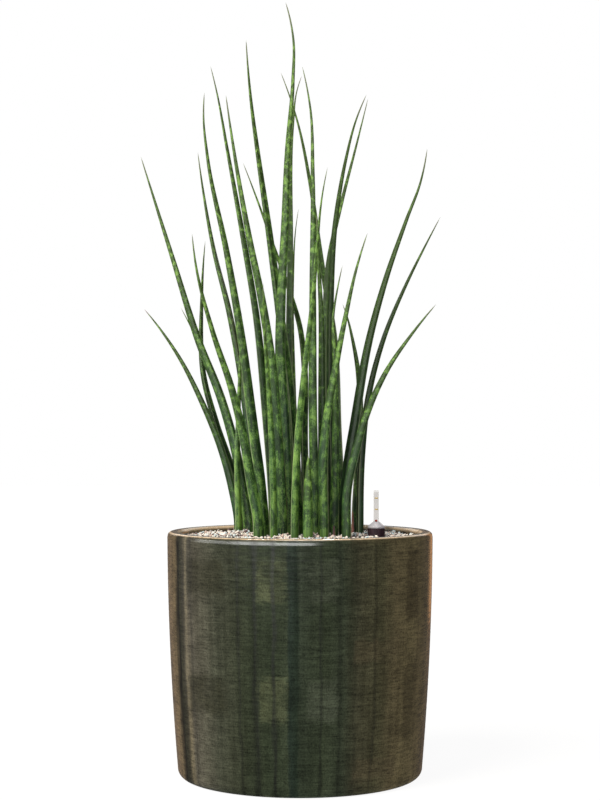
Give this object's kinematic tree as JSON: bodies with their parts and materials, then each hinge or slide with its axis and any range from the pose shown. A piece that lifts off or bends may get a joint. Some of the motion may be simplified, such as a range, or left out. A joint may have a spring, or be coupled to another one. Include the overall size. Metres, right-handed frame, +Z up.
{
  "type": "potted cylindrical snake plant",
  "caption": "Cylindrical snake plant with upright tapering leaves, standing in mineral granulate in a dark glazed cylinder planter with a water level gauge.",
  "frame": {"origin": "centre of the planter's flat underside, on the surface that it stands on", "axes": "+Z up along the planter's axis, -Y towards the front, +X to the right, where the gauge stands"},
  "size_m": [0.3485, 0.302, 0.8835],
  "materials": {
    "planter_glaze": "glossy dark olive glaze with green and brown streaks on stoneware",
    "granulate": "matte mixed mineral granules, cream, grey and purple brown",
    "leaf": "waxy green leaf skin with paler cross bands",
    "roots": "matte fibrous rhizome and root mass",
    "gauge_dark_plastic": "moulded dark plum plastic",
    "gauge_clear_plastic": "clear moulded plastic",
    "gauge_float": "red moulded plastic"
  },
  "bodies": {
    "planted_planter": {"planter": "planter_glaze", "granulate": "granulate", "root_mass": "roots", "gauge_chamber": "gauge_dark_plastic", "gauge_head": "gauge_clear_plastic", "leaf_01": "leaf", "leaf_02": "leaf", "leaf_03": "leaf", "leaf_04": "leaf", "leaf_05": "leaf", "leaf_06": "leaf", "leaf_07": "leaf", "leaf_08": "leaf", "leaf_09": "leaf", "leaf_10": "leaf", "leaf_11": "leaf", "leaf_12": "leaf", "leaf_13": "leaf", "leaf_14": "leaf", "leaf_15": "leaf", "leaf_16": "leaf", "leaf_17": "leaf", "leaf_18": "leaf", "leaf_19": "leaf", "leaf_20": "leaf", "leaf_21": "leaf", "leaf_22": "leaf", "leaf_23": "leaf", "leaf_24": "leaf", "leaf_25": "leaf", "leaf_26": "leaf", "leaf_27": "leaf", "leaf_28": "leaf", "leaf_29": "leaf"},
    "float": {"gauge_float": "gauge_float"}
  },
  "joints": [
    {"name": "float_rise", "type": "slide", "parent": "planted_planter", "child": "float", "axis": [0, 0, 1], "range_m": [0, 0.028]}
  ]
}
